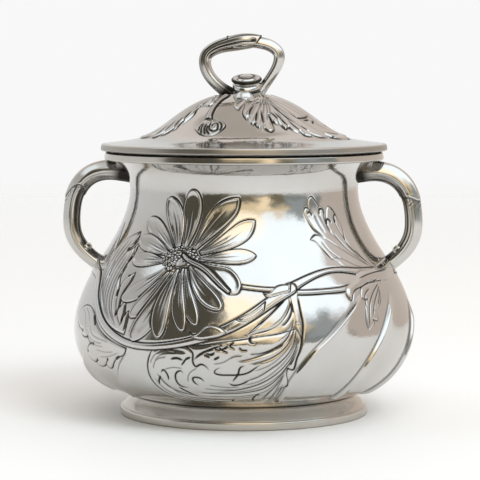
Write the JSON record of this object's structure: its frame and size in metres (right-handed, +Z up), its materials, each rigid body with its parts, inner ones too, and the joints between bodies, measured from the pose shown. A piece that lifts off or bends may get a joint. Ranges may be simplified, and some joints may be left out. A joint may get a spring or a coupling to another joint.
{
  "type": "lidded sugar bowl",
  "caption": "Bellied pewter sugar bowl with floral relief, two stem-shaped handles, a flared foot and a lift-off domed lid with a looped finial.",
  "frame": {"origin": "centre of the foot's underside, on the bowl's axis", "axes": "+Z up along the bowl's axis, X through the two handles, -Y the front"},
  "size_m": [0.1338, 0.1256, 0.14],
  "materials": {
    "chased_pewter": "polished silver-coloured pewter with darkened recesses in its relief",
    "cast_pewter": "polished cast pewter with darkened grooves",
    "plain_pewter": "turned and polished, softly brushed along the turning direction",
    "inner_pewter": "satin, lightly tarnished"
  },
  "bodies": {
    "bowl": {"body_front_half": "chased_pewter", "body_back_half": "chased_pewter", "bottom_plate": "inner_pewter", "rim_band": "plain_pewter", "foot_ring": "plain_pewter", "foot_rim_band": "plain_pewter", "handle_left": "cast_pewter", "handle_right": "cast_pewter"},
    "lid": {"lid_dome": "chased_pewter", "lid_rim_band": "plain_pewter", "lid_bezel": "inner_pewter", "finial_loop": "cast_pewter", "finial_boss": "cast_pewter"}
  },
  "joints": [
    {"name": "lid_lift", "type": "slide", "parent": "bowl", "child": "lid", "axis": [0, 0, 1], "range_m": [0, 0.06]}
  ]
}
